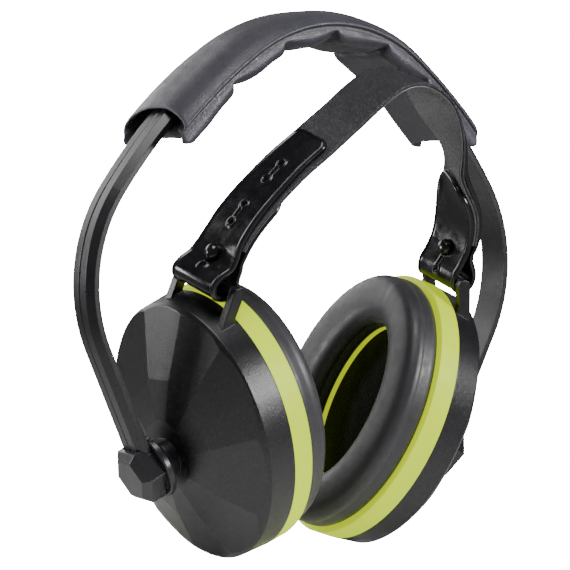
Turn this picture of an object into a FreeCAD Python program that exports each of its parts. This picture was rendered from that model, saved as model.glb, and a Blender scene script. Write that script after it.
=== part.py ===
import FreeCAD, Part
import math, os
from FreeCAD import Vector, Rotation, Placement

# Passive earmuff hearing protector: a sprung plastic headband with a padded sleeve, two cups on
# ball pivots carried by height sliders, and a crown strap looped through a bail on each cup.
# Frame: origin midway between the two ball pivots, +X to one ear, +Y backwards, +Z to the crown.
# All sizes in millimetres. The left half (-X) is modelled and mirrored.

# ---- headband ----
APEX_Z = 176.0            # outer face of the band at the crown, above the pivots
BAND_ARCS = ((71.6, 35.5), (214.0, 56.0), (64.6, 90.0))  # outer radius, end angle of each arc
LEG_ANGLE = 25.4          # straight legs lean inwards from vertical
BAND_FLAT = 4.6           # half width of the flat outer face
BAND_HALF = 7.2           # half width of the band
BAND_THICK = 4.7
BAND_CHAMFER = 2.5        # depth of the side chamfers
GROOVE_WIDTH = 1.0
GROOVE_DEPTH = 0.45
STUB = 12.0               # band below the pivot
# ---- padded sleeve on the crown ----
SLEEVE_REACH = 93.0       # arc length each way from the crown
SLEEVE_HALF = 20.5        # half width
SLEEVE_PROUD = 2.3        # above the band's outer face
SLEEVE_DEPTH = 11.7       # below the band's outer face
COVER_WALL = 1.2
SLEEVE_ROUND = 4.0
SOFT_GAP = 0.3            # soft parts stay this far from hard ones
# ---- slider and ball pivot ----
RUN_GAP = 0.25            # slider on the band
PIVOT_DEPTH = 5.0         # ball centre to the band's inner face
DISC_R = 13.6
DISC_RIM = 1.8            # underside of the disc rim, above the ball centre
DISC_RECESS_R = 9.0
DISC_CEILING = 3.7        # underside of the disc in its recess
NOTCH_R = 2.2
CAP_R = 12.2              # hexagonal cap, corner radius
CAP_TOP_R = 8.6
CAP_SHOULDER = 2.2        # wall above the channel before the bevel
CAP_BEVEL = 2.6
BALL_R = 4.5
NECK_R = 2.1
BALL_GAP = 0.12
LIP_R = 3.35              # socket mouth
LIP_Z = 0.95              # top of the socket lip above the ball centre
SOCKET_R = 6.0            # outer radius of the socket insert
SOCKET_BASE = 1.3         # insert below the ball
BOSS_R = 8.0
BOSS_TOP = -0.3
HUB_GAP = 4.6             # ball centre to the flat hub of the shell
# ---- cups ----
CUP_TILT = 17.3           # cup axis above horizontal
CUP_TOE = 9.5            # cup axis turned backwards
CUP_LEAN = 14.8           # cups leaning forwards of the band at rest
CUP_HALF_H = 57.0         # half height of the oval rim
CUP_HALF_W = 47.0
CUP_RISE = 5.2            # oval centre above the pivot
CUP_DEPTH = 29.5          # ball centre to the seal ring's outer face
RIM_BAND = 11.4           # straight wall of the shell
RIM_DRAFT = 0.9           # how much smaller the fold is than the rim
SHELL_WALL = 2.6
DOME_SINK = 6.0           # dome ellipsoid centre inside the fold
DOME_TOP = 2.6            # top of the dome before its flats, from the ball centre
CAVITY_TOP = 10.5         # top of the hollow, from the ball centre
FACETS = 10
FACET_TILT1 = 12.5
FACET_TILT2 = 19.5
HUB_FLAT_R = 15.0         # apothem of the flat hub facet
FACET_SPLIT_R = 30.0      # where the steeper facets start
SEAL_WIDTH = 9.1          # bright ring between shell and cushion
SEAL_HOLE_H = 34.7
SEAL_HOLE_W = 22.8
SEAL_PLATE = 1.5          # thickness of the ring's plate behind the cushion
SPIGOT = 3.0              # seal ring's spigot inside the shell
SPIGOT_WALL = 2.4
FIT_GAP = 0.15
CUSHION_THICK = 12.6
CUSHION_INSET = 2.4
CUSHION_HOLE_H = 34.3
CUSHION_HOLE_W = 22.4
CUSHION_ROUND = 4.5
LINER_FACE = 2.0          # liner's face, inside the seal ring
LINER_BACK = 9.0          # liner's back behind the seal ring
# ---- strap bail on each shell ----
BAIL_RISE = 7.0           # bar axis above the rim
BAIL_BAR_R = 2.0
BAIL_IN = 7.2             # bar axis nearer the head than the middle of the rim band
BAIL_SLOT = 13.6          # half length of the slot
BAIL_EAR = 3.2            # ear thickness
BAIL_EAR_W = 9.0
# ---- crown strap ----
STRAP_DROP = 17.2         # middle of the strap below the band's outer face at the crown
STRAP_LEG_ANGLE = 79.0    # straight ends of the strap, from horizontal
STRAP_LEG = 8.2           # straight length above the loop
STRAP_CROWN = 0.640       # crown radius as a share of the largest that still fits
STRAP_INSET = 0.6         # leaves meet the loop's top this far inside the bar's axis
STRAP_HALF = 12.5
STRAP_OUTER = 1.3         # grained face layer
STRAP_LINING = 0.9
TAB_HALF = 12.2
TAB_THICK = 1.8
TAB_LONG = 66.0           # outer leaf above the loop
TAB_SHORT = 40.0          # inner leaf above the loop
LOOP_IN = 3.4             # free room for the bar towards the head
LOOP_OUT = 7.1            # free room for the bar away from the head
LOOP_DROP = 0.6           # free room for the bar below
LOOP_ROUND = 2.2
LEAF_SINK = 1.0           # leaves run into the loop's wall
STUD_AT = 9.0             # stud above the loop's top
STUD_SHANK_R = 1.5
STUD_HEAD_R = 3.4
STUD_INNER_R = 3.3
STUD_HOLE_GAP = 0.3
KEYHOLES = 2
KEYHOLE_FIRST = 21.0
KEYHOLE_PITCH = 21.0
KEYHOLE_SPAN = 8.4
KEYHOLE_R = 1.1
KEYHOLE_SLIT = 0.5

sin = lambda a: math.sin(math.radians(a))
cos = lambda a: math.cos(math.radians(a))
X, Y, Z = Vector(1, 0, 0), Vector(0, 1, 0), Vector(0, 0, 1)
O = Vector(0, 0, 0)


# ---------------------------------------------------------------- helpers
def polygon_face(points):
    return Part.Face(Part.makePolygon(list(points) + [points[0]]))


def fuse(parts):
    shape = parts[0].multiFuse(parts[1:]) if len(parts) > 1 else parts[0]
    shape = shape.removeSplitter()
    return shape.Solids[0] if len(shape.Solids) == 1 else shape


def oval_face(half_w, half_h, x, z=0.0):
    """Ellipse in a plane of constant x, its long axis along Z."""
    ellipse = Part.Ellipse(Vector(x, 0, z + half_h), Vector(x, half_w, z), Vector(x, 0, z))
    return Part.Face(Part.Wire(ellipse.toShape()))


def oval_prism(half_w, half_h, x0, x1, z=0.0):
    return oval_face(half_w, half_h, x0, z).extrude(Vector(x1 - x0, 0, 0))


def oval_loft(w0, h0, x0, w1, h1, x1, z=0.0):
    wires = [oval_face(w0, h0, x0, z).OuterWire, oval_face(w1, h1, x1, z).OuterWire]
    return Part.makeLoft(wires, True, True)


def arch_segments(apex, arcs, leg):
    """Tangent arcs of the right half: (radius, start, end, centre) and a straight leg."""
    segments, angle, x, z = [], 0.0, 0.0, apex
    for radius, end in arcs:
        centre = (x - radius * sin(angle), z - radius * cos(angle))
        segments.append(("arc", radius, angle, end, centre))
        x, z = centre[0] + radius * sin(end), centre[1] + radius * cos(end)
        angle = end
    segments.append(("leg", leg, angle, (x, z)))
    return segments


def arch_point(segments, s):
    """Point and angle at arc length s from the crown, right half."""
    for seg in segments:
        if seg[0] == "arc":
            _, radius, a0, a1, centre = seg
            length = radius * math.radians(a1 - a0)
            if s <= length:
                a = a0 + math.degrees(s / radius)
                return centre[0] + radius * sin(a), centre[1] + radius * cos(a), a
        else:
            _, length, a, (x, z) = seg
            return x + s * cos(a), z - s * sin(a), a
        s -= length


def sweep(segments, section, s0, s1):
    """Solid of a section (y, inward) swept along the right half between two arc lengths."""
    pieces, start = [], 0.0
    for seg in segments:
        if seg[0] == "arc":
            _, radius, a0, a1, centre = seg
            length = radius * math.radians(a1 - a0)
        else:
            _, length, a0, corner = seg
        b, e = max(s0, start) - start, min(s1, start + length) - start
        start += length
        if e - b < 1e-6:
            continue
        if seg[0] == "arc":
            a = a0 + math.degrees(b / radius)
            x, z = centre[0] + radius * sin(a), centre[1] + radius * cos(a)
        else:
            a, x, z = a0, corner[0] + b * cos(a0), corner[1] - b * sin(a0)
        face = polygon_face([Vector(x - r * sin(a), y, z - r * cos(a)) for y, r in section])
        if seg[0] == "arc":
            turn = math.degrees((e - b) / radius)
            pieces.append(face.revolve(Vector(centre[0], 0, centre[1]), Y, turn))
        else:
            pieces.append(face.extrude(Vector((e - b) * cos(a), 0, -(e - b) * sin(a))))
    return fuse(pieces)


def mirror(shape):
    return shape.mirror(O, X)


def both_halves(half):
    return fuse([half, mirror(half)])


def place(shape, *steps):
    """Apply rotations and moves in the order given."""
    placement = Placement()
    for step in steps:
        placement = (Placement(step, Rotation()) if isinstance(step, Vector)
                     else Placement(O, step)).multiply(placement)
    shape = shape.copy()
    shape.Placement = placement.multiply(shape.Placement)
    return shape


def export(name, shape):
    solids = shape.Solids
    assert len(solids) == 1 and shape.isValid(), (name, len(solids), shape.isValid())
    solids[0].exportStep("parts/%s.step" % name)
    print("%-22s %9.1f mm3" % (name, solids[0].Volume))


# ---------------------------------------------------------------- derived places
ARCS = BAND_ARCS[:-1] + ((BAND_ARCS[-1][0], 90.0 + LEG_ANGLE),)
_bare = arch_segments(APEX_Z, ARCS, 0.0)
LEG_X, LEG_Z = _bare[-1][3]
FACE_TO_BALL = PIVOT_DEPTH + BAND_THICK
LEG_LENGTH = (LEG_Z + FACE_TO_BALL * sin(LEG_ANGLE)) / cos(LEG_ANGLE)
BALL_X = LEG_X - LEG_LENGTH * sin(LEG_ANGLE) - FACE_TO_BALL * cos(LEG_ANGLE)
BAND = arch_segments(APEX_Z, ARCS, LEG_LENGTH + STUB)
BAND_S = sum(r * math.radians(b - a) for r, a, b in
             zip([p[0] for p in ARCS], [0.0] + [p[1] for p in ARCS[:-1]], [p[1] for p in ARCS]))

OUTWARD = Rotation(Y, -90)                    # local +Z (out of the cup) to -X
LEG_TURN = Rotation(Y, -LEG_ANGLE)
CUP_TURN = Rotation(X, CUP_LEAN) * Rotation(Z, CUP_TOE) * Rotation(Y, -CUP_TILT)
TO_BALL = Vector(-BALL_X, 0, 0)
BAR_CUP_X = CUP_DEPTH - RIM_BAND / 2 + BAIL_IN
BAR_CUP_Z = CUP_RISE + CUP_HALF_H + BAIL_RISE
BAR_CUP_Y = -(BAR_CUP_X * cos(CUP_TILT) - BAR_CUP_Z * sin(CUP_TILT)) * math.tan(math.radians(CUP_TOE))  # in the strap's plane


def on_leg(shape):
    """Hub frame (X up the leg, Z outward) to the left slider's place."""
    return place(shape, OUTWARD, LEG_TURN, TO_BALL)


def on_cup(shape):
    """Cup frame (X towards the head, Z up, origin at the ball) to the left cup's place."""
    return place(shape, CUP_TURN, TO_BALL)


# ---------------------------------------------------------------- headband and sleeve
def headband():
    g = GROOVE_WIDTH / 2
    section = [(-g, 0), (0, GROOVE_DEPTH), (g, 0), (BAND_FLAT, 0), (BAND_HALF, BAND_CHAMFER),
               (BAND_HALF, BAND_THICK), (-BAND_HALF, BAND_THICK), (-BAND_HALF, BAND_CHAMFER),
               (-BAND_FLAT, 0)]
    band = both_halves(sweep(BAND, section, 0, BAND_S + LEG_LENGTH + STUB))
    for side in (1, -1):
        cutters = []
        x, z, a = arch_point(BAND, BAND_S + LEG_LENGTH + STUB)
        for y in (1, -1):
            r = BAND_HALF * 0.62
            block = Part.makeBox(3 * BAND_THICK, r, r, Vector(-1.5 * BAND_THICK, 0, 0))
            drum = Part.makeCylinder(r, 3 * BAND_THICK, Vector(-1.5 * BAND_THICK, 0, r), X)
            corner = block.cut(drum)
            corner = corner if y > 0 else corner.mirror(O, Y)
            corner = place(corner, Vector(0, y * (BAND_HALF - r), 0), Rotation(Y, a - 90),
                           Vector(x, 0, z))
            cutters.append(corner if side > 0 else mirror(corner))
        for cutter in cutters:
            band = band.cut(cutter)
    return band.Solids[0]


def rounded_section(half, top, bottom, r):
    """Octagonal ring of points with clipped corners."""
    return [(-half + r, top), (half - r, top), (half, top + r), (half, bottom - r),
            (half - r, bottom), (-half + r, bottom), (-half, bottom - r), (-half, top + r)]


def sleeve_cover():
    wall = COVER_WALL
    outer = rounded_section(SLEEVE_HALF, -SLEEVE_PROUD, SLEEVE_DEPTH, SLEEVE_ROUND)
    inner = rounded_section(SLEEVE_HALF - wall, wall - SLEEVE_PROUD, SLEEVE_DEPTH - wall,
                            SLEEVE_ROUND - wall / 2)
    tube = sweep(BAND, outer, 0, SLEEVE_REACH).cut(sweep(BAND, inner, 0, SLEEVE_REACH))
    return both_halves(tube)


def sleeve_foam():
    half, r = SLEEVE_HALF - COVER_WALL - SOFT_GAP, SLEEVE_ROUND
    top, bottom = BAND_THICK + SOFT_GAP, SLEEVE_DEPTH - COVER_WALL - SOFT_GAP
    section = [(-half, top), (half, top), (half, bottom - r), (half - r, bottom),
               (r - half, bottom), (-half, bottom - r)]
    return both_halves(sweep(BAND, section, 0, SLEEVE_REACH - 2.0))


# ---------------------------------------------------------------- slider, cap and ball pivot
def slider_base():
    top = PIVOT_DEPTH - RUN_GAP
    disc = Part.makeCylinder(DISC_R, top - DISC_RIM, Vector(0, 0, DISC_RIM))
    disc = disc.makeChamfer(0.5, [e for e in disc.Edges if e.BoundBox.ZLength < 1e-3])
    disc = disc.cut(Part.makeCylinder(DISC_RECESS_R, DISC_CEILING - DISC_RIM,
                                      Vector(0, 0, DISC_RIM)))
    disc = disc.cut(Part.makeCylinder(NECK_R, top, O))
    for y in (-5.0, 5.0):
        disc = disc.cut(Part.makeCylinder(NOTCH_R, top, Vector(DISC_R + 0.6, y, 0)))
    return disc.Solids[0]


def hexagon(r, z):
    return Part.makePolygon([Vector(r * cos(30 + 60 * i), r * sin(30 + 60 * i), z)
                             for i in range(7)])


def knob_cap():
    z0 = PIVOT_DEPTH - RUN_GAP
    z1 = PIVOT_DEPTH + BAND_THICK + CAP_SHOULDER
    body = Part.Face(hexagon(CAP_R, z0)).extrude(Vector(0, 0, z1 - z0))
    crown = Part.makeLoft([hexagon(CAP_R, z1), hexagon(CAP_TOP_R, z1 + CAP_BEVEL)], True, True)
    cap = fuse([body, crown])
    half = BAND_HALF + RUN_GAP
    z2 = PIVOT_DEPTH + BAND_THICK + RUN_GAP
    slope = BAND_CHAMFER
    flat = BAND_FLAT + RUN_GAP
    points = [(-half, z0 - 1), (half, z0 - 1), (half, z2 - slope), (flat, z2), (-flat, z2),
              (-half, z2 - slope)]
    channel = polygon_face([Vector(-2 * CAP_R, y, z) for y, z in points])
    return cap.cut(channel.extrude(Vector(4 * CAP_R, 0, 0))).Solids[0]


def ball_stud():
    top = PIVOT_DEPTH - 2 * RUN_GAP
    ball = Part.makeSphere(BALL_R)
    shoulder = DISC_CEILING - BALL_GAP
    ball = ball.cut(Part.makeBox(20, 20, 20, Vector(-10, -10, shoulder)))
    neck = Part.makeCylinder(NECK_R, top, O)
    return fuse([ball, neck])


def socket_insert():
    """Ring that holds the ball, its mouth open for the neck's swing."""
    low = -(BALL_R + SOCKET_BASE)
    body = Part.makeCylinder(SOCKET_R, LIP_Z - low, Vector(0, 0, low))
    body = body.cut(Part.makeSphere(BALL_R + BALL_GAP))
    mouth = Part.makeCone(LIP_R, LIP_R + LIP_Z + 1.0, LIP_Z + 1.0, O)
    return body.cut(mouth).Solids[0]


# ---------------------------------------------------------------- cup
FOLD_X = CUP_DEPTH - RIM_BAND                 # crisp fold between the rim band and the dome
DOME_X = FOLD_X + DOME_SINK


def dome(inset, top_x):
    """Ellipsoid cap outside the fold, inset from the outer surface; top_x is its outermost x."""
    w, h = CUP_HALF_W - RIM_DRAFT - inset, CUP_HALF_H - RIM_DRAFT - inset
    depth = DOME_X - top_x
    share = math.sqrt(1 - (DOME_SINK / depth) ** 2)
    matrix = FreeCAD.Matrix()
    matrix.scale(depth, w / share, h / share)
    matrix.move(Vector(DOME_X, 0, CUP_RISE))
    body = Part.makeSphere(1.0).transformGeometry(matrix)
    return body.common(Part.makeBox(200, 300, 300, Vector(FOLD_X - 200, -150, -150)))


def rim_distance(angle):
    """Distance from the hub axis to the oval rim, as a share of the half height."""
    a, b, rise = CUP_HALF_W, CUP_HALF_H, CUP_RISE
    s, c = sin(angle), cos(angle)
    k = (s / a) ** 2 + (c / b) ** 2
    return (rise * c / b ** 2 + math.sqrt((rise * c / b ** 2) ** 2
            - k * ((rise / b) ** 2 - 1))) / k / b


def facet_block():
    """Two tiers of flats round the hub, steeper outwards, that plane the dome."""
    block = Part.makeBox(80, 300, 300, Vector(HUB_GAP, -150, -150))
    step = 360.0 / FACETS
    for i in range(FACETS):
        angle = (i + 0.5) * step
        share = rim_distance(angle)
        slope1 = math.tan(math.radians(FACET_TILT1)) / share
        slope2 = math.tan(math.radians(FACET_TILT2)) / share
        r1, r2 = HUB_FLAT_R * share, FACET_SPLIT_R * share
        rise = HUB_GAP + slope1 * (r2 - r1)
        for slope, r, x in ((slope1, r1, HUB_GAP), (slope2, r2, rise)):
            side = Part.makeBox(300, 300, 300, Vector(-300, -150, -150))
            block = block.cut(place(side, Rotation(Y, math.degrees(math.atan(slope))),
                                    Vector(x, 0, r), Rotation(X, -angle)))
    return block


def bail():
    """Two ears rising from the rim band at the top, joined by a bar."""
    x = CUP_DEPTH - RIM_BAND / 2
    bar_x, bar_y, bar_z = BAR_CUP_X, BAR_CUP_Y, BAR_CUP_Z
    parts = [Part.makeCylinder(BAIL_BAR_R, 2 * BAIL_SLOT + BAIL_EAR,
                               Vector(bar_x, bar_y - BAIL_SLOT - BAIL_EAR / 2, bar_z), Y)]
    half, top = BAIL_EAR_W / 2, bar_z + BAIL_BAR_R + 0.4
    for y in (bar_y - BAIL_SLOT - BAIL_EAR, bar_y + BAIL_SLOT):
        rim = CUP_RISE + CUP_HALF_H * math.sqrt(1 - (abs(y + BAIL_EAR / 2) / CUP_HALF_W) ** 2)
        outline = [Vector(x - half, y, rim - 4.5), Vector(x + half, y, rim - 4.5),
                   Vector(x + half, y, rim + 1.6), Vector(bar_x + 2.4, y, bar_z - 1.0),
                   Vector(bar_x + 2.4, y, top - 1.2), Vector(bar_x + 1.2, y, top),
                   Vector(bar_x - 1.2, y, top), Vector(bar_x - 2.4, y, top - 1.2)]
        parts.append(polygon_face(outline).extrude(Vector(0, BAIL_EAR, 0)))
    return parts


def cup_shell():
    rim = oval_loft(CUP_HALF_W - RIM_DRAFT, CUP_HALF_H - RIM_DRAFT, FOLD_X,
                    CUP_HALF_W, CUP_HALF_H, CUP_DEPTH, CUP_RISE)
    body = fuse([dome(0.0, DOME_TOP).common(facet_block()), rim])
    body = body.fuse(bail())
    inner_w, inner_h = CUP_HALF_W - SHELL_WALL - RIM_DRAFT, CUP_HALF_H - SHELL_WALL - RIM_DRAFT
    cavity = fuse([oval_prism(inner_w, inner_h, FOLD_X, CUP_DEPTH + 1, CUP_RISE),
                   dome(SHELL_WALL, CAVITY_TOP)])
    body = body.cut(cavity)
    boss = Part.makeCylinder(BOSS_R, HUB_GAP + BOSS_TOP + 2.0, Vector(0, 0, -HUB_GAP - 2.0))
    seat = Part.makeCylinder(SOCKET_R, 40, Vector(0, 0, -BALL_R - SOCKET_BASE))
    body = body.fuse(place(boss, OUTWARD)).cut(place(seat, OUTWARD))
    return body.removeSplitter().Solids[0]


def seal_ring():
    """Bright ring: shows between shell and cushion, with a spigot inside the shell's wall."""
    x0, x1 = CUP_DEPTH, CUP_DEPTH + SEAL_WIDTH
    ring = oval_prism(CUP_HALF_W, CUP_HALF_H, x0, x1, CUP_RISE)
    inner_w = CUP_HALF_W - SHELL_WALL - RIM_DRAFT - FIT_GAP
    inner_h = CUP_HALF_H - SHELL_WALL - RIM_DRAFT - FIT_GAP
    ring = ring.fuse(oval_prism(inner_w, inner_h, x0 - SPIGOT, x0, CUP_RISE))
    hollow = oval_prism(inner_w - SPIGOT_WALL, inner_h - SPIGOT_WALL, x0 - SPIGOT - 1,
                        x1 - SEAL_PLATE, CUP_RISE)
    hole = oval_prism(SEAL_HOLE_W, SEAL_HOLE_H, x1 - SEAL_PLATE - 1, x1 + 1, CUP_RISE)
    return ring.cut(hollow).cut(hole).removeSplitter().Solids[0]


def ear_cushion():
    x0 = CUP_DEPTH + SEAL_WIDTH + SOFT_GAP
    body = oval_prism(CUP_HALF_W - CUSHION_INSET, CUP_HALF_H - CUSHION_INSET, x0,
                      x0 + CUSHION_THICK, CUP_RISE)
    body = body.cut(oval_prism(CUSHION_HOLE_W, CUSHION_HOLE_H, x0 - 1, x0 + CUSHION_THICK + 1,
                               CUP_RISE))
    face = [e for e in body.Edges if e.BoundBox.XMin > x0 + CUSHION_THICK - 0.1
            and e.BoundBox.XLength < 0.1]
    return body.makeFillet(CUSHION_ROUND, face).Solids[0]


def foam_liner():
    trim = SHELL_WALL + RIM_DRAFT + FIT_GAP + SPIGOT_WALL + SOFT_GAP
    return oval_prism(CUP_HALF_W - trim, CUP_HALF_H - trim, CUP_DEPTH - LINER_BACK,
                      CUP_DEPTH + LINER_FACE, CUP_RISE)


# ---------------------------------------------------------------- crown strap
STRAP_THICK = STRAP_OUTER + STRAP_LINING
STRAP_APEX = APEX_Z - STRAP_DROP
BAR_AT = CUP_TURN.multVec(Vector(BAR_CUP_X, BAR_CUP_Y, BAR_CUP_Z)) + TO_BALL
BAR_FLAT = Rotation(X, -CUP_LEAN).multVec(BAR_AT)       # the bar in the strap's own plane


def strap_arcs():
    """Two tangent arcs from the crown to the straight leg that comes down on the loop."""
    s, c = sin(STRAP_LEG_ANGLE), cos(STRAP_LEG_ANGLE)
    x = -BAR_FLAT.x - STRAP_INSET - STRAP_LEG * c
    z = STRAP_APEX - (BAR_FLAT.z + BAIL_BAR_R + SOFT_GAP + TAB_THICK) - STRAP_LEG * s
    crown = STRAP_CROWN * (x * s - z * c) / (s * s - c * (1 - c))
    lo, hi = 1.0, STRAP_LEG_ANGLE - 0.5
    for _ in range(60):
        turn = (lo + hi) / 2
        across = (x - crown * sin(turn)) / (s - sin(turn))
        down = (z - crown * (1 - cos(turn))) / (cos(turn) - c)
        lo, hi = (turn, hi) if across < down else (lo, turn)
    return (crown, turn), (across, STRAP_LEG_ANGLE)


STRAP_ARCS = strap_arcs()
STRAP = arch_segments(STRAP_APEX, STRAP_ARCS, 60.0)
STRAP_S = sum(r * math.radians(b - a) for r, a, b in
              zip([p[0] for p in STRAP_ARCS], [0.0] + [p[1] for p in STRAP_ARCS[:-1]],
                  [p[1] for p in STRAP_ARCS]))


def strap_end():
    """Right end of the leaves' run: point, angle, and the bar's place in the same plane."""
    bar_x, bar_z = -BAR_FLAT.x, BAR_FLAT.z
    loop_top = bar_z + BAIL_BAR_R + SOFT_GAP + TAB_THICK
    lo, hi = 0.0, STRAP_S + 60.0
    for _ in range(60):
        mid = (lo + hi) / 2
        lo, hi = (mid, hi) if arch_point(STRAP, mid)[1] > loop_top else (lo, mid)
    return lo, bar_x, bar_z


def leaf_section(r0, r1, half):
    return [(-half, r0), (half, r0), (half, r1), (-half, r1)]


def lean(shape):
    return place(shape, Rotation(X, CUP_LEAN))


def radial_hole(s, y, radius, r0, r1):
    """Cylinder across the strap at arc length s, from depth r0 to r1 (inward positive)."""
    x, z, a = arch_point(STRAP, s)
    inward = Vector(-sin(a), 0, -cos(a))
    return Part.makeCylinder(radius, r1 - r0, Vector(x, y, z) + inward * r0, inward)


LOOP_S, BAR_X, BAR_Z = strap_end()
R_FACE = -STRAP_THICK / 2                     # strap's outer face, inward coordinate
R_BACK = STRAP_THICK / 2
R_JOIN = R_FACE + STRAP_OUTER
STUD_S = LOOP_S - STUD_AT
HOLE_R = STUD_SHANK_R + STUD_HOLE_GAP


def strap_layer(r0, r1):
    half = sweep(STRAP, leaf_section(r0, r1, STRAP_HALF), 0, LOOP_S - 1.5)
    half = half.cut(radial_hole(STUD_S, 0, HOLE_R, r0 - 1, r1 + 1))
    return lean(both_halves(half))


def keyhole(s):
    """Dumbbell opening through the outer leaf: two round holes and a slit along the strap."""
    r0, r1 = R_FACE - TAB_THICK - 2, R_FACE + 0.5
    cut = [radial_hole(s + d, 0, KEYHOLE_R, r0, r1) for d in (0.0, -KEYHOLE_SPAN)]
    x, z, a = arch_point(STRAP, s - KEYHOLE_SPAN / 2)
    slit = Part.makeBox(KEYHOLE_SPAN, 2 * KEYHOLE_SLIT, r1 - r0,
                        Vector(-KEYHOLE_SPAN / 2, -KEYHOLE_SLIT, -r1))
    cut.append(place(slit, Rotation(Y, a), Vector(x, 0, z)))
    return cut


def strap_tab():
    """Right tab: closed loop round the bail bar, long leaf outside and short leaf inside."""
    gap = 0.05
    outer = sweep(STRAP, leaf_section(R_FACE - TAB_THICK - gap, R_FACE - gap, TAB_HALF),
                  LOOP_S - TAB_LONG, LOOP_S + LEAF_SINK)
    inner = sweep(STRAP, leaf_section(R_BACK + gap, R_BACK + gap + TAB_THICK, TAB_HALF),
                  LOOP_S - TAB_SHORT, LOOP_S + LEAF_SINK)
    for r0, leaf in ((R_FACE - TAB_THICK - gap - 1, "outer"), (R_BACK + gap - 1, "inner")):
        hole = radial_hole(STUD_S, 0, HOLE_R, r0, r0 + TAB_THICK + 2)
        if leaf == "outer":
            outer = outer.cut(hole)
        else:
            inner = inner.cut(hole)
    for i in range(KEYHOLES):
        for cutter in keyhole(LOOP_S - KEYHOLE_FIRST - i * KEYHOLE_PITCH):
            outer = outer.cut(cutter)
    x_in = BAR_X - BAIL_BAR_R - LOOP_IN
    x_out = BAR_X + BAIL_BAR_R + LOOP_OUT
    z_low, z_top = BAR_Z - BAIL_BAR_R - LOOP_DROP, BAR_Z + BAIL_BAR_R + SOFT_GAP

    def outline(grow):
        x0, x1, z0, z1 = x_in - grow, x_out + grow, z_low - grow, z_top + grow
        r = LOOP_ROUND + grow
        pts = []
        for cx, cz, a0 in ((x1 - r, z1 - r, 0), (x0 + r, z1 - r, 90), (x0 + r, z0 + r, 180),
                           (x1 - r, z0 + r, 270)):
            pts += [Vector(cx + r * cos(a), -TAB_HALF, cz + r * sin(a))
                    for a in (a0, a0 + 30, a0 + 60, a0 + 90)]
        return polygon_face(pts).extrude(Vector(0, 2 * TAB_HALF, 0))

    loop = outline(TAB_THICK).cut(outline(0.0))
    return lean(fuse([loop, outer, inner]))


def strap_stud():
    """Double-headed stud through both leaves and the strap."""
    x, z, a = arch_point(STRAP, STUD_S)
    out = Vector(sin(a), 0, cos(a))
    r_out = R_FACE - TAB_THICK - 0.15
    r_in = R_BACK + TAB_THICK + 0.15
    base = Vector(x, 0, z)
    shank = Part.makeCylinder(STUD_SHANK_R, r_in - r_out + 2, base - out * (r_in + 1), out)
    parts = [shank]
    for start, head, way in ((base - out * r_out, STUD_HEAD_R, out),
                             (base - out * r_in, STUD_INNER_R, out * -1)):
        ball = Part.makeSphere(head, start + way * (head * 0.25))
        keep = Part.makeCylinder(2 * head, 4 * head, start, way)
        parts.append(ball.common(keep))
    return lean(fuse(parts))


# ---------------------------------------------------------------- build
def main():
    os.makedirs("parts", exist_ok=True)
    print("ball pivots at x = +-%.3f, leg length %.2f" % (BALL_X, LEG_LENGTH))
    print("bail bar at", BAR_AT, "in strap plane", BAR_FLAT, "loop at", LOOP_S)
    print("headband arc %.1f, strap arc %.1f" % (BAND_S, LOOP_S), "strap arcs", STRAP_ARCS)
    export("headband", headband())
    export("sleeve_cover", sleeve_cover())
    export("sleeve_foam", sleeve_foam())
    left = {
        "slider_base": on_leg(slider_base()),
        "knob_cap": on_leg(knob_cap()),
        "ball_stud": on_leg(ball_stud()),
        "socket_insert": on_cup(place(socket_insert(), OUTWARD)),
        "cup_shell": on_cup(cup_shell()),
        "seal_ring": on_cup(seal_ring()),
        "ear_cushion": on_cup(ear_cushion()),
        "foam_liner": on_cup(foam_liner()),
        "strap_tab": mirror(strap_tab()),
        "strap_stud": mirror(strap_stud()),
    }
    for name, shape in left.items():
        export(name + "_left", shape)
        export(name + "_right", mirror(shape))
    export("strap_outer", strap_layer(R_FACE, R_JOIN))
    export("strap_lining", strap_layer(R_JOIN, R_BACK))


main()
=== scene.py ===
import math
import bpy
import bmesh
import numpy as np
from mathutils import Matrix, Vector


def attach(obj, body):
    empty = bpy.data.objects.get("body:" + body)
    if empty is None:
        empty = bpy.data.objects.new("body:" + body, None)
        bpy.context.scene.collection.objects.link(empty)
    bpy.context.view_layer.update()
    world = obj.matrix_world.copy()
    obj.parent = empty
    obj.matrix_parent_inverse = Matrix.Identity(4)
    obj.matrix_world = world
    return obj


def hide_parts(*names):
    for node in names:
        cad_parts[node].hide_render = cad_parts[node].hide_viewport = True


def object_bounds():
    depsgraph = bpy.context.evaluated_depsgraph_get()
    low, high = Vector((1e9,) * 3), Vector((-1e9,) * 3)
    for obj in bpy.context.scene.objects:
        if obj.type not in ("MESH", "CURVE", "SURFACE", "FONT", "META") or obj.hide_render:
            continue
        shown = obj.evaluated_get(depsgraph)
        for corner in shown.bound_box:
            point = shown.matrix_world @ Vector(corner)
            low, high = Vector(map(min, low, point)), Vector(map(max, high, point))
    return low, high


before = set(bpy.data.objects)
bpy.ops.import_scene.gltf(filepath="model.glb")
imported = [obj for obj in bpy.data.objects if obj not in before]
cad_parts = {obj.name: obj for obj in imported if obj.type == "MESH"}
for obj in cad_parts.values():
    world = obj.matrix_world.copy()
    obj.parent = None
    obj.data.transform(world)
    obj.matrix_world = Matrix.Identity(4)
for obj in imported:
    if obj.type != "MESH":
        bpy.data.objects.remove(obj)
cad_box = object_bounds()
MM = 0.001

sin = lambda a: math.sin(math.radians(a))
cos = lambda a: math.cos(math.radians(a))

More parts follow.
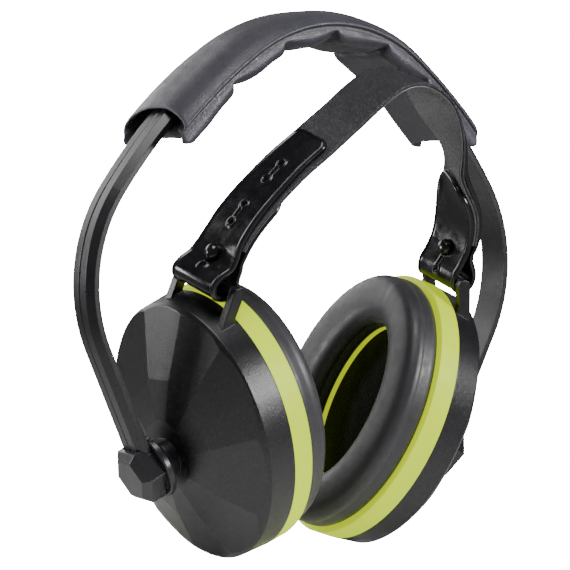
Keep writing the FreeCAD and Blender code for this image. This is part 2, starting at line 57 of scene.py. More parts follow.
# ------------------------------------------------------------ sizes, mm
# The same as in the CAD, except LINER_HALF (a little smaller), STUD_AT and the strap's curve.
APEX_Z = 176.0
BAND_ARCS = ((71.6, 35.5), (214.0, 56.0), (64.6, 115.4))  # radius and end angle of each arc
BALL_X = 67.746
CUP_LEAN, CUP_TOE, CUP_TILT = 14.8, 9.5, 17.3
CUP_RISE, CUP_DEPTH, SEAL_WIDTH = 5.2, 29.5, 9.1
CUSHION_OUT, CUSHION_HOLE = (44.6, 54.6), (22.4, 34.3)
CUSHION_HIGH = 12.6                        # cushion's face over the seal ring
LINER_HALF = (40.5, 50.5)
SOFT_GAP = 0.3                             # clearance round the soft pieces
SLEEVE_HALF = 20.5                         # half width of the padded sleeve
BAR_X, BAR_Z = 58.60, 75.29                # middle of the right bail's slot, in the strap's plane
STRAP_FACE, STRAP_BACK = 1.1, -1.1         # the strap's two sides, from its middle
TAB_LONG, TAB_SHORT, TAB_THICK = 66.0, 40.0, 1.8
LEAF_OFF = STRAP_FACE + 0.95               # middle of a tab's leaf, from the strap's middle
STUD_AT = 6.5                              # stud above the end of the strap's curve
# how the slack strap hangs, from the left loop over the crown to the right one (x, z)
HANG = [(-57.6, 79.4), (-55.6, 87.0), (-51.4, 97.0), (-43.6, 108.8), (-33.5, 120.5), (-21.5, 131.0),
        (-11.0, 141.0), (-2.0, 149.8), (8.5, 156.6), (19.5, 157.2), (31.0, 150.8), (42.0, 139.0),
        (50.5, 126.5), (55.8, 113.0), (59.6, 100.0), (60.2, 89.5), (58.0, 79.4)]


# ------------------------------------------------------------ geometry helpers
def arch(apex, arcs, leg=80.0):
    out, a, x, z = [], 0.0, 0.0, apex
    for radius, end in arcs:
        c = (x - radius * sin(a), z - radius * cos(a))
        out.append((radius, a, end, c))
        x, z, a = c[0] + radius * sin(end), c[1] + radius * cos(end), end
    out.append((None, leg, a, (x, z)))
    return out


BAND = arch(APEX_Z, BAND_ARCS)


def arch_at(segments, s):
    """x, z and slope angle at signed arc length s from the crown."""
    side, s = (1 if s >= 0 else -1), abs(s)
    for radius, a0, a1, c in segments:
        if radius is None:
            return side * (c[0] + s * cos(a1)), c[1] - s * sin(a1), side * a1
        length = radius * math.radians(a1 - a0)
        if s <= length:
            a = a0 + math.degrees(s / radius)
            return side * (c[0] + radius * sin(a)), c[1] + radius * cos(a), side * a
        s -= length


def smooth_path(points, per=8, closed=False):
    """Catmull-Rom curve through points."""
    p = np.array(points, float)
    n = len(p)
    out = []
    last = n if closed else n - 1
    for i in range(last):
        if closed:
            a, b, c, d = p[i - 1], p[i], p[(i + 1) % n], p[(i + 2) % n]
        else:
            b, c = p[i], p[i + 1]
            a = p[i - 1] if i else 2 * b - c
            d = p[i + 2] if i + 2 < n else 2 * c - b
        for k in range(per):
            t = k / per
            out.append(0.5 * (2 * b + (c - a) * t + (2 * a - 5 * b + 4 * c - d) * t * t
                              + (3 * b - a - 3 * c + d) * t ** 3))
    if not closed:
        out.append(p[-1])
    return np.array(out)


def resample(path, step):
    d = np.r_[0, np.cumsum(np.linalg.norm(np.diff(path, axis=0), axis=1))]
    n = max(2, int(round(d[-1] / step)) + 1)
    t = np.linspace(0, d[-1], n)
    return np.stack([np.interp(t, d, path[:, k]) for k in range(path.shape[1])], 1), t


HANG_PATH, HANG_S = resample(smooth_path(HANG, 24), 0.25)
LOOP_S = HANG_S[-1] / 2
STUD_S = LOOP_S - STUD_AT


def strap_at(s):
    """x, z and slope angle of the hanging strap at signed length s from its middle."""
    t = s + LOOP_S
    x, z = (np.interp(t, HANG_S, HANG_PATH[:, k]) for k in (0, 1))
    x1, z1, x2, z2 = (np.interp(q, HANG_S, HANG_PATH[:, k]) for q in (t - 1.5, t + 1.5) for k in (0, 1))
    a = math.degrees(math.atan2(z1 - z2, x2 - x1))
    if t > HANG_S[-1]:
        x, z = x + (t - HANG_S[-1]) * cos(a), z - (t - HANG_S[-1]) * sin(a)
    elif t < 0:
        x, z = x + t * cos(a), z - t * sin(a)
    return float(x), float(z), a


def half_strap_at(side, s):
    """The same, seen as a right half whichever side it is."""
    x, z, a = strap_at(side * s)
    return side * x, z, side * a


def step01(x):
    x = np.clip(x, 0, 1)
    return x * x * (3 - 2 * x)


def ripple(x, y, seed, scale):
    """Smooth seeded noise of two coordinates, about -1 to 1."""
    r = np.random.default_rng(seed)
    out = 0
    for _ in range(6):
        k = r.normal(size=2) / scale
        out = out + np.sin(k[0] * x + k[1] * y + r.uniform(0, 6.28))
    return out / 3.0


def rot(axis, a):
    return np.array(Matrix.Rotation(math.radians(a), 3, axis))


CUP = rot("X", CUP_LEAN) @ rot("Z", CUP_TOE) @ rot("Y", -CUP_TILT)
LEAN = rot("X", CUP_LEAN)


def on_cup(p, side):
    """Points of the cup frame to the left (-1) or right (1) cup's place."""
    q = p @ CUP.T + np.array([-BALL_X, 0, 0])
    return q * np.array([-side, 1, 1])


def make(name, verts, faces, material, body, replaces=(), smooth=True):
    """A mesh piece in mm, riding a body."""
    mesh = bpy.data.meshes.new(name)
    mesh.from_pydata((np.asarray(verts) * MM).tolist(), [], faces)
    bm = bmesh.new()
    bm.from_mesh(mesh)
    bmesh.ops.remove_doubles(bm, verts=bm.verts, dist=2e-6)
    bmesh.ops.recalc_face_normals(bm, faces=bm.faces)
    for f in bm.faces:
        f.smooth = smooth
    bm.to_mesh(mesh)
    bm.free()
    obj = bpy.data.objects.new(name, mesh)
    bpy.context.scene.collection.objects.link(obj)
    mesh.materials.append(material)
    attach(obj, body)
    if replaces:
        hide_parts(*replaces)
    return obj


def grid_faces(nu, nv, wrap_u=False, wrap_v=False, base=0):
    faces = []
    for i in range(nu if wrap_u else nu - 1):
        for j in range(nv if wrap_v else nv - 1):
            a, b = i * nv + j, i * nv + (j + 1) % nv
            c, d = ((i + 1) % nu) * nv + (j + 1) % nv, ((i + 1) % nu) * nv + j
            faces.append((base + a, base + b, base + c, base + d))
    return faces


# ------------------------------------------------------------ materials
def node(tree, kind, **values):
    n = tree.nodes.new(kind)
    for key, value in values.items():
        if hasattr(n, key) and not isinstance(value, dict):
            setattr(n, key, value)
    for key, value in values.get("inputs", {}).items():
        n.inputs[key].default_value = value
    return n


def ramp(tree, source, stops):
    r = tree.nodes.new("ShaderNodeValToRGB")
    while len(r.color_ramp.elements) < len(stops):
        r.color_ramp.elements.new(0.5)
    for e, (at, value) in zip(r.color_ramp.elements, stops):
        e.position = at
        e.color = (*value, 1) if isinstance(value, tuple) else (value, value, value, 1)
    tree.links.new(source, r.inputs["Fac"])
    return r.outputs["Color"]


def mix_colour(tree, factor, colour, other):
    """The colour, turned into a fixed other one where factor is 1."""
    mix = node(tree, "ShaderNodeMix", data_type="RGBA")
    mix.inputs["B"].default_value = (*other, 1)
    tree.links.new(factor, mix.inputs["Factor"])
    tree.links.new(colour, mix.inputs["A"])
    return mix.outputs["Result"]


def add_flecks(tree, coord, colour, size, light, share):
    """Small light grains over a share of the surface."""
    spots = node(tree, "ShaderNodeTexVoronoi", inputs={"Scale": size})
    tree.links.new(coord, spots.inputs["Vector"])
    pick = node(tree, "ShaderNodeMath", operation="GREATER_THAN", inputs={1: 1 - share})
    parts = tree.nodes.new("ShaderNodeSeparateColor")
    tree.links.new(spots.outputs["Color"], parts.inputs["Color"])
    tree.links.new(parts.outputs["Red"], pick.inputs[0])
    return mix_colour(tree, pick.outputs["Value"], colour, light)


def wear_edges(tree, coord, colour, base, edge, radius):
    """Patchy lighter wear where the surface turns sharply."""
    link = tree.links.new
    bevel = node(tree, "ShaderNodeBevel", samples=6, inputs={"Radius": radius})
    surface = tree.nodes.new("ShaderNodeNewGeometry")
    dot = node(tree, "ShaderNodeVectorMath", operation="DOT_PRODUCT")
    link(bevel.outputs["Normal"], dot.inputs[0])
    link(surface.outputs["Normal"], dot.inputs[1])
    worn = ramp(tree, dot.outputs["Value"], [(0.80, 1.0), (0.985, 0.0)])
    scale = node(tree, "ShaderNodeMath", operation="MULTIPLY", inputs={1: edge})
    patch = node(tree, "ShaderNodeTexNoise", inputs={"Scale": 420.0, "Detail": 3.0})
    link(coord, patch.inputs["Vector"])
    both = node(tree, "ShaderNodeMath", operation="MULTIPLY")
    link(worn, both.inputs[0])
    link(patch.outputs["Fac"], both.inputs[1])
    link(both.outputs["Value"], scale.inputs[0])
    return mix_colour(tree, scale.outputs["Value"], colour, [min(1, c * 3 + 0.05) for c in base])


def bump_height(tree, coord, kind, scale):
    """Height of one layer of relief: fine noise, leather pebbles or foam cells."""
    link = tree.links.new
    if kind == "noise":
        noise = node(tree, "ShaderNodeTexNoise", inputs={"Scale": scale, "Detail": 6.0, "Roughness": 0.65})
        link(coord, noise.inputs["Vector"])
        return noise.outputs["Fac"]
    warp = node(tree, "ShaderNodeTexNoise", inputs={"Scale": scale * 0.6, "Detail": 2.0})
    link(coord, warp.inputs["Vector"])
    shift = node(tree, "ShaderNodeVectorMath", operation="SCALE", inputs={"Scale": 0.9 / scale})
    link(warp.outputs["Color"], shift.inputs[0])
    add = node(tree, "ShaderNodeVectorMath", operation="ADD")
    link(coord, add.inputs[0])
    link(shift.outputs["Vector"], add.inputs[1])
    feature = "DISTANCE_TO_EDGE" if kind == "pebble" else "F1"
    cells = node(tree, "ShaderNodeTexVoronoi", feature=feature, inputs={"Scale": scale})
    link(add.outputs["Vector"], cells.inputs["Vector"])
    if kind == "pebble":
        return ramp(tree, cells.outputs["Distance"], [(0.0, 0.0), (0.28, 1.0)])
    return cells.outputs["Distance"]


def finish_material(name, base, rough=0.5, var=0.15, var_scale=60, rough_var=0.08, specular=0.5,
                    sheen=0.0, edge=0.0, edge_radius=0.0005, bumps=(), round_edges=0.0, flecks=None,
                    glow=None):
    """Procedural surface: colour variation, worn edges, uneven roughness and stacked bumps, and an optional
    painted glow (emission) by which the surface gives off light of its own.
    """
    mat = bpy.data.materials.new(name)
    mat.use_nodes = True
    t = mat.node_tree
    bsdf = t.nodes["Principled BSDF"]
    link = t.links.new
    coord = t.nodes.new("ShaderNodeTexCoord").outputs["Object"]

    slow = node(t, "ShaderNodeTexNoise", inputs={"Scale": var_scale, "Detail": 5.0, "Roughness": 0.6})
    link(coord, slow.inputs["Vector"])
    low = tuple(c * (1 - var) for c in base)
    high = tuple(min(1, c * (1 + var)) for c in base)
    colour = ramp(t, slow.outputs["Fac"], [(0.3, low), (0.7, high)])
    if flecks:
        colour = add_flecks(t, coord, colour, *flecks)
    if edge:
        colour = wear_edges(t, coord, colour, base, edge, edge_radius)
    link(colour, bsdf.inputs["Base Color"])

    fine = node(t, "ShaderNodeTexNoise", inputs={"Scale": var_scale * 4, "Detail": 4.0})
    link(coord, fine.inputs["Vector"])
    roughness = [(0.3, max(0.02, rough - rough_var)), (0.7, min(1.0, rough + rough_var))]
    link(ramp(t, fine.outputs["Fac"], roughness), bsdf.inputs["Roughness"])
    bsdf.inputs["Specular IOR Level"].default_value = specular
    bsdf.inputs["Sheen Weight"].default_value = sheen
    # painted light: glow makes the surface emit light of its own, though it is no lamp
    if glow:
        bsdf.inputs["Emission Color"].default_value = (*glow[0], 1)
        bsdf.inputs["Emission Strength"].default_value = glow[1]

    normal = None
    if round_edges:
        normal = node(t, "ShaderNodeBevel", samples=8, inputs={"Radius": round_edges}).outputs["Normal"]
    for kind, scale, strength, depth in bumps:
        height = bump_height(t, coord, kind, scale)
        bump = node(t, "ShaderNodeBump", inputs={"Strength": strength, "Distance": depth})
        link(height, bump.inputs["Height"])
        if normal is not None:
            link(normal, bump.inputs["Normal"])
        normal = bump.outputs["Normal"]
    if normal is not None:
        link(normal, bsdf.inputs["Normal"])
    return mat


M = {
    "band": finish_material("band_plastic", (0.016, 0.0155, 0.018), 0.29, rough_var=0.02, specular=0.5,
                            edge=0.5, edge_radius=0.0004, round_edges=0.00035,
                            bumps=[("noise", 2600, 0.08, 0.0002), ("noise", 90, 0.03, 0.0006)]),
    "knob": finish_material("knob_plastic", (0.014, 0.0135, 0.016), 0.25, rough_var=0.02, specular=0.55,
                            edge=0.6, edge_radius=0.0004, round_edges=0.0003,
                            bumps=[("noise", 1500, 0.05, 0.0002), ("noise", 120, 0.03, 0.0006)]),
    "shell": finish_material("shell_plastic", (0.007, 0.0066, 0.0085), 0.30, rough_var=0.02, specular=0.5,
                             edge=0.45, edge_radius=0.0005, round_edges=0.0007,
                             bumps=[("noise", 1300, 0.30, 0.0003), ("noise", 3600, 0.25, 0.0002)],
                             flecks=(2600, (0.018, 0.018, 0.02), 0.10)),
    # the lime seal ring carries a painted glow: it emits light of its own, which keeps it bright even where
    # it lies in shade
    "lime": finish_material("lime_plastic", (0.38, 0.52, 0.0), 0.48, var=0.03, rough_var=0.02, specular=0.3,
                            edge=0.2, glow=((0.80, 1.0, 0.0), 0.55), round_edges=0.0005,
                            bumps=[("noise", 1600, 0.08, 0.0002)]),
    "cushion": finish_material("cushion_pu", (0.033, 0.032, 0.037), 0.42, var=0.08, specular=0.42,
                               sheen=0.08, bumps=[("noise", 2600, 0.16, 0.00025),
                                                  ("noise", 130, 0.12, 0.0008)]),
    "sleeve": finish_material("sleeve_leatherette", (0.045, 0.044, 0.056), 0.42, var=0.12, specular=0.45,
                              sheen=0.05, bumps=[("pebble", 820, 0.20, 0.0003),
                                                 ("noise", 2500, 0.10, 0.0002),
                                                 ("noise", 80, 0.12, 0.0010)]),
    "strap": finish_material("strap_leatherette", (0.028, 0.0275, 0.033), 0.45, var=0.14, specular=0.5,
                             bumps=[("pebble", 1150, 0.50, 0.0004), ("noise", 3000, 0.15, 0.0002)]),
    "lining": finish_material("strap_lining", (0.085, 0.083, 0.090), 0.27, var=0.08, specular=0.5,
                              sheen=0.1, bumps=[("noise", 1800, 0.12, 0.0002),
                                                ("noise", 60, 0.25, 0.0015)]),
    "rubber": finish_material("tab_rubber", (0.010, 0.0098, 0.0115), 0.20, specular=0.55,
                              bumps=[("noise", 70, 0.06, 0.0010), ("noise", 1500, 0.03, 0.0002)]),
    "foam": finish_material("foam", (0.010, 0.010, 0.011), 0.95, var=0.4, var_scale=900, specular=0.1,
                            bumps=[("cell", 900, 0.9, 0.0008), ("noise", 1600, 0.5, 0.0005)]),
    "nylon": finish_material("nylon", (0.35, 0.35, 0.34), 0.40, specular=0.4, round_edges=0.0003,
                             bumps=[("noise", 1500, 0.1, 0.0002)]),
    "steel": finish_material("steel", (0.45, 0.45, 0.46), 0.28, specular=0.6,
                             bumps=[("noise", 900, 0.08, 0.0002)]),
}
M["steel"].node_tree.nodes["Principled BSDF"].inputs["Metallic"].default_value = 1.0

CAD_LOOK = {"headband": "band", "slider_base": "knob", "knob_cap": "knob", "ball_stud": "steel",
            "socket_insert": "nylon", "cup_shell": "shell", "seal_ring": "lime"}
for name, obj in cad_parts.items():
    base = name.replace("_left", "").replace("_right", "")
    key = CAD_LOOK.get(base)
    if key:
        obj.data.materials.clear()
        obj.data.materials.append(M[key])


# ------------------------------------------------------------ padded sleeve on the crown
def half_to_ring(control, per=4):
    """Half section (centre top to centre bottom) to a closed ring, mirrored in y."""
    right = smooth_path(control, per)
    left = right[1:-1][::-1] * np.array([-1] + [1] * (right.shape[1] - 1))
    return np.vstack([right, left])


def sleeve():
    # y, depth, and how far along the band this line of the skin runs
    outer = [(0, -2.3, 84), (6, -2.2, 84.3), (11, -1.5, 85.5), (16, -0.2, 87.2), (19.0, 1.3, 88.6),
             (20.25, 2.3, 89.8), (20.5, 3.3, 91.2), (19.7, 4.1, 92.6), (20.1, 5.8, 94.4),
             (20.3, 7.9, 94.7), (19.5, 10.1, 92.9), (17.0, 11.4, 90.8), (12, 11.7, 89.4),
             (6, 11.7, 88.7), (0, 11.7, 88.4)]
    inner = [(0, -1.1), (6, -1.0), (11, -0.4), (15.2, 0.7), (17.6, 2.0), (18.7, 2.9), (18.9, 3.7),
             (18.5, 4.6), (18.3, 6.0), (17.6, 7.0), (16.0, 7.2), (13.5, 6.6), (10.5, 5.9), (5, 5.5),
             (0, 5.4)]
    o, inn = half_to_ring(outer), half_to_ring(inner)
    nv = len(o)
    reach = o[:, 2] + 1.4 * o[:, 0] / SLEEVE_HALF
    creases = [(-57.5, 1.0), (-28.5, 0.95), (0.5, 1.1), (29.0, 0.95), (56.5, 0.9)]

    def crease(s, y, r):
        """Pulls the lower half of the skin in at the creases and swells it between them."""
        k, pillow = 0.0, 1.0
        for at, deep in creases:
            lean = 0.10 * (r - 5) * (1 if at < 0 else -1)
            d = s - (at + 1.6 * (y / SLEEVE_HALF) + 0.9 * math.sin(y * 0.35 + at) + lean)
            w = 1.3 if d * (1 if at <= 0 else -1) < 0 else 4.2
            k = max(k, deep * math.exp(-abs(d) / w))
            pillow = min(pillow, 1 - math.exp(-(d / 11.0) ** 2))
        low = step01((r - 4.6) / 6.5)
        side = step01((abs(y) - 12) / 7.0)
        r2 = r - low * (2.9 * k - 0.55 * pillow + 0.5) - 0.25 * low * ripple(s, y, 3, 9.0)
        y2 = y - math.copysign(1, y) * side * low * (2.3 * k - 0.5 * pillow + 0.4) \
            - math.copysign(0.22, y) * side * low * ripple(s, r * 2, 5, 6.0)
        return y2, r2

    def skin(j, s):
        """y and depth of the outer skin's line j at length s, creased and slightly uneven on top."""
        y, r = crease(s, o[j][0], o[j][1])
        top = 1 - step01((r - 1) / 4)
        return y, r - 0.30 * top * ripple(s, y * 1.5, 11, 14.0)

    lip = 1.5
    turns = (60, 30, 0, -30, -60)
    depths = (17.0, 12.0, 7.0, 3.5, 1.3)       # rings of the lining, behind the lip
    rows = [("in", -1, depth) for depth in depths] + [("lip", -1, a) for a in turns]
    rows += [("out", f, None) for f in np.linspace(-1, 1, 331)]
    rows += [("lip", 1, a) for a in turns[::-1]] + [("in", 1, depth) for depth in depths[::-1]]
    verts = []
    for kind, f, value in rows:
        for j in range(nv):
            s = f * (reach[j] - lip)
            y, r = skin(j, s)
            yi, ri = inn[j]
            if kind == "lip":
                w = 0.5 + 0.5 * sin(value)
                s = f * (reach[j] - lip + lip * cos(value))
                y, r = y + (yi - y) * w, r + (ri - r) * w
            elif kind == "in":
                s = f * (reach[j] - lip - value)
                shrink = step01((value - 8) / 9.0)
                y = yi * (1 - 0.25 * shrink)
                r = ri + (2.4 - ri) * 0.35 * shrink
            x, z, a = arch_at(BAND, s)
            verts.append((x - r * sin(a), y, z - r * cos(a)))
    nu = len(rows)
    faces = grid_faces(nu, nv, wrap_v=True)
    for row in (0, nu - 1):                    # a cone closes the lining deep inside each mouth
        s = rows[row][1] * 74.0
        x, z, a = arch_at(BAND, s)
        verts.append((x - 2.4 * sin(a), 0, z - 2.4 * cos(a)))
        c = len(verts) - 1
        for j in range(nv):
            faces.append((c, row * nv + j, row * nv + (j + 1) % nv))
    piece = make("sleeve", verts, faces, M["sleeve"], "headband",
                 ("sleeve_cover", "sleeve_foam"))
    return piece


# ------------------------------------------------------------ ear cushions and liners
def ring_points(half_w, half_h, theta):
    return half_w * np.sin(theta), CUP_RISE + half_h * np.cos(theta)


def cushion(side, label):
    # share of the way from the outer to the inner oval, and height over the ring
    profile = [(0.10, 0.0), (0.035, 0.15), (0.0, 0.9), (-0.012, 2.4), (0.0, 4.4), (0.012, 6.2),
               (0.008, 7.4), (0.025, 9.2), (0.09, 11.0), (0.19, 12.1), (0.32, 12.55), (0.50, CUSHION_HIGH),
               (0.66, 12.35), (0.80, 11.6), (0.905, 10.2), (0.965, 8.2), (0.985, 6.2), (0.975, 5.2),
               (0.985, 4.2), (1.0, 2.2), (0.985, 0.7), (0.94, 0.1), (0.85, 0.0)]
    pr = smooth_path(profile, 4, closed=True)
    nu, nv = 220, len(pr)
    theta = np.linspace(0, 2 * math.pi, nu, endpoint=False)
    x0 = CUP_DEPTH + SEAL_WIDTH + SOFT_GAP
    verts = np.zeros((nu, nv, 3))
    for j, (f, h) in enumerate(pr):
        yo, zo = ring_points(*CUSHION_OUT, theta)
        yi, zi = ring_points(*CUSHION_HOLE, theta)
        soft = 0.10 * ripple(theta * 10, np.full(nu, f * 20 + h), 21 + (side > 0), 6.0) * (h > 1)
        verts[:, j, 0] = x0 + h + soft * (h / CUSHION_HIGH)
        verts[:, j, 1] = yo + (yi - yo) * (f + soft * 0.01)
        verts[:, j, 2] = zo + (zi - zo) * (f + soft * 0.01)
    pts = on_cup(verts.reshape(-1, 3), side)
    piece = make("ear_cushion_" + label + "_pad", pts, grid_faces(nu, nv, True, True), M["cushion"],
                 label + "_cup", ("ear_cushion_" + label,))
    return piece


def liner(side, label):
    """Open-cell foam disc: domed, uneven face and a rolled edge."""
    rings = [(0.0, 1.2), (0.2, 1.15), (0.4, 1.0), (0.6, 0.75), (0.78, 0.45), (0.9, 0.1), (0.965, -0.5),
             (0.99, -1.6), (0.995, -4.0), (0.99, -7.6), (0.96, -8.9), (0.9, -9.4), (0.6, -9.6),
             (0.3, -9.6), (0.0, -9.6)]
    pr = smooth_path(rings, 4)[1:-1]
    nu = 160
    theta = np.linspace(0, 2 * math.pi, nu, endpoint=False)
    x0 = CUP_DEPTH + 1.0 - SOFT_GAP
    verts = []
    for f, h in pr:
        y, z = ring_points(LINER_HALF[0] * f, LINER_HALF[1] * f, theta)
        bumpy = 0.35 * ripple(y, z, 31, 3.0) * (h > -2)
        verts += np.stack([x0 + h + bumpy, y, z], 1).tolist()
    faces = grid_faces(len(pr), nu, wrap_v=True)
    verts += [[x0 + 1.2, 0, CUP_RISE], [x0 - 9.6, 0, CUP_RISE]]
    top, bottom = len(verts) - 2, len(verts) - 1
    for j in range(nu):
        faces.append((top, j, (j + 1) % nu))
        k = (len(pr) - 1) * nu
        faces.append((bottom, k + j, k + (j + 1) % nu))
    pts = on_cup(np.array(verts), side)
    piece = make("foam_liner_" + label + "_pad", pts, faces, M["foam"], label + "_cup",
                 ("foam_liner_" + label,))


# ------------------------------------------------------------ crown strap
def strap_frame(s, side_wave):
    """Centre, unit across, unit outward of the strap at arc length s; it twists a little."""
    x, z, a = strap_at(s)
    out = np.array([sin(a), 0, cos(a)])
    across = np.array([0.0, 1.0, 0.0])
    centre = np.array([x, 0.0, z])
    free = step01((LOOP_S - 16 - abs(s)) / 30.0)
    lift, shift, twist = side_wave(s)
    centre = centre + out * lift * free + across * shift * free
    t = math.radians(twist * free)
    out2 = out * math.cos(t) + across * math.sin(t)
    across2 = across * math.cos(t) - out * math.sin(t)
    return centre, across2, out2


def drape(s):
    """The leather isn't drawn tight: a slow wave, stronger towards the right."""
    lift = 0.3 * math.sin(s / 9.0)
    shift = 0.5 * math.sin(s / 33.0) + 1.5 * math.exp(-((s - 62) / 18.0) ** 2)
    twist = 2.0 * math.sin(s / 27.0) - 25.0 * math.exp(-((s - 64) / 17.0) ** 2) \
        + 8.0 * math.exp(-((s - 30) / 14.0) ** 2)
    return lift, shift, twist


def strap_sheet(name, r0, r1, half, material, node_name):
    """A layer of the strap between outward coordinates r0 < r1, with rolled edges."""
    end = LOOP_S - 12.0
    ss = np.linspace(-end, end, 361)
    thick = r1 - r0
    lat = np.linspace(-1, 1, 41)
    ring = [(y * (half - thick / 2), r1, y) for y in lat]
    for a in (60, 30, 0, -30, -60):
        ring.append((half - thick / 2 + thick / 2 * cos(a), (r0 + r1) / 2 + thick / 2 * sin(a), 1))
    ring += [(y * (half - thick / 2), r0, y) for y in lat[::-1]]
    for a in (-60, -30, 0, 30, 60):
        ring.append((-(half - thick / 2 + thick / 2 * cos(a)), (r0 + r1) / 2 + thick / 2 * sin(a), -1))
    nv = len(ring)
    verts = []
    for s in ss:
        c, across, out = strap_frame(s, drape)
        cup = 0.35 * math.sin(s / 19.0)
        for y, r, u in ring:
            wob = 0.10 * math.sin(s / 5.3 + y * 0.2) * (1 if u > 0 else -1) * abs(u) ** 3
            sag = cup * (1 - u * u)
            verts.append(c + across * (y + wob) + out * (r + sag))
    verts = np.array(verts) @ LEAN.T
    faces = grid_faces(len(ss), nv, wrap_v=True)
    faces.append(tuple(range(nv)))
    faces.append(tuple(range((len(ss) - 1) * nv, len(ss) * nv))[::-1])
    return make(name, verts, faces, material, "crown_strap", (node_name,))


def tab_path(side):
    """Centreline of the right tab's strip, outer leaf's free end to inner leaf's free end."""
    off = LEAF_OFF
    pts = []
    for s in np.arange(LOOP_S - TAB_LONG, LOOP_S - STUD_AT, 2.0):
        x, z, a = half_strap_at(side, s)
        pts.append((x + off * sin(a), z + off * cos(a)))
    d, e = pts[-1][0] - BAR_X, pts[-1][0] - BAR_X - 2 * off
    flare = [(d + 0.25 * (7.4 - d), 8.3), (d + 0.72 * (7.4 - d), 5.3), (7.4, 2.3), (7.3, -0.7), (5.5, -2.7),
             (2.4, -3.4), (-1.0, -3.4), (-3.4, -2.3), (-4.3, 0.4), (-4.1, 3.6), (0.5 * (e - 4.1), 7.0)]
    pts += [(BAR_X + dx, BAR_Z + dz) for dx, dz in flare]
    for s in np.arange(LOOP_S - (STUD_AT + 1.0), LOOP_S - (TAB_SHORT + 0.5), -2.0):
        x, z, a = half_strap_at(side, s)
        pts.append((x - off * sin(a), z - off * cos(a)))
    return resample(smooth_path(pts, 6), 0.38)


def eyelets(u, y, spots):
    """Relief of moulded eyelets joined by slits; u along the strip, y across."""
    h = np.zeros_like(u)
    for a, b in spots:
        da, db = np.hypot(u - a, y), np.hypot(u - b, y)
        d = np.minimum(da, db)
        lo, hi = min(a, b), max(a, b)
        du = np.clip(u, lo, hi)
        slit = np.hypot(u - du, y)
        rim = 0.55 * np.exp(-((d - 1.85) / 0.42) ** 2)
        edge = 0.28 * np.exp(-((slit - 0.95) / 0.32) ** 2)
        h += np.maximum(rim, edge * (d > 1.3))
        h -= 1.5 * step01((1.35 - d) / 0.5)
        h -= 0.75 * step01((0.62 - slit) / 0.4) * (d > 1.2)
    return h


def tab(side, label):
    path, u = tab_path(side)
    total = u[-1]
    n, m = len(path), 71
    tangent = np.gradient(path, axis=0)
    tangent /= np.linalg.norm(tangent, axis=1)[:, None]
    normal = np.stack([-tangent[:, 1], tangent[:, 0]], 1)
    half, corner = 10.0 + 2.2 * step01(u / 58.0), 4.0
    width = half.copy()
    for end, rc in ((0.0, corner), (total, 9.0)):
        d = np.abs(u - end)
        near = d < rc
        width[near] = half[near] - rc + np.sqrt(np.maximum(0, rc ** 2 - (rc - d[near]) ** 2))
    eta = np.linspace(-1, 1, m)
    U, Y = np.meshgrid(u, eta, indexing="ij")
    Y = Y * width[:, None]
    # distance to the outline
    edge = np.full_like(U, 1e9)
    edge = np.minimum(edge, half[:, None] - np.abs(Y))
    edge = np.minimum(edge, np.minimum(U, total - U))
    for end, rc in ((0.0, corner), (total, 9.0)):
        d = np.abs(U - end)
        cy = half[:, None] - rc
        inside = (d < rc) & (np.abs(Y) > cy)
        edge = np.where(inside, rc - np.hypot(rc - d, np.abs(Y) - cy), edge)
    stud_out = TAB_LONG - STUD_AT
    stud_in = total - (TAB_SHORT - STUD_AT)
    spots = [(TAB_LONG - 18.6, TAB_LONG - 27.0), (TAB_LONG - 40.1, TAB_LONG - 48.5),
             (stud_out, stud_out + 8.4), (stud_in, stud_in - 8.0)]
    bead = 0.50 * np.exp(-((edge - 0.9) / 0.55) ** 2) - 0.35 * step01((0.5 - edge) / 0.5)
    relief = bead + eyelets(U, Y, spots)
    outward = normal[5] @ np.array([sin(60), cos(60)])
    hand = 1.0 if outward > 0 else -1.0        # which way the strip's outer side faces
    top = np.zeros((n, m, 3))
    low = np.zeros((n, m, 3))
    soft = 0.10 * ripple(U, Y, 41 + (side > 0), 9.0)
    front = TAB_THICK / 2 + relief + soft * 0.6
    back = -TAB_THICK / 2 + 0.25 * step01((0.5 - edge) / 0.5)
    for grid, off in ((top, front), (low, back)):
        grid[..., 0] = path[:, 0][:, None] + hand * normal[:, 0][:, None] * off
        grid[..., 1] = Y
        grid[..., 2] = path[:, 1][:, None] + hand * normal[:, 1][:, None] * off
    verts = np.vstack([top.reshape(-1, 3), low.reshape(-1, 3)])
    faces = grid_faces(n, m) + [f[::-1] for f in grid_faces(n, m, base=n * m)]
    border = [i * m for i in range(n)] + [(n - 1) * m + j for j in range(1, m)] \
        + [i * m + m - 1 for i in range(n - 2, -1, -1)] + [j for j in range(m - 2, 0, -1)]
    for a, b in zip(border, border[1:] + border[:1]):
        faces.append((a, b, b + n * m, a + n * m))
    turn = np.tile(np.repeat(step01(1.25 - np.abs(u - 68.5) / 14.0), m), 2)
    verts[:, 0] += turn * verts[:, 1] * math.tan(math.radians(CUP_TOE))    # the loop lies along the bar
    verts *= np.array([side, 1, 1])
    at = np.where(u < 62, LOOP_S - TAB_LONG + u,
                  np.where(total - u < 36, LOOP_S - TAB_SHORT + total - u, LOOP_S))
    grid = verts.reshape(2, n, m, 3)
    for i in range(n):                         # the leaves turn with the strap between them
        x, z, a = strap_at(side * at[i])
        c, across, out = strap_frame(side * at[i], drape)
        flat = np.array([sin(a), 0, cos(a)])
        d = grid[:, i] - np.array([x, 0, z])
        along = np.array([cos(a), 0, -sin(a)])
        grid[:, i] = c + (d @ along)[..., None] * along + d[..., 1:2] * across + (d @ flat)[..., None] * out
    pts = grid.reshape(-1, 3) @ LEAN.T
    return make("strap_tab_" + label + "_strip", pts, faces, M["rubber"], "crown_strap",
                ("strap_tab_" + label,))


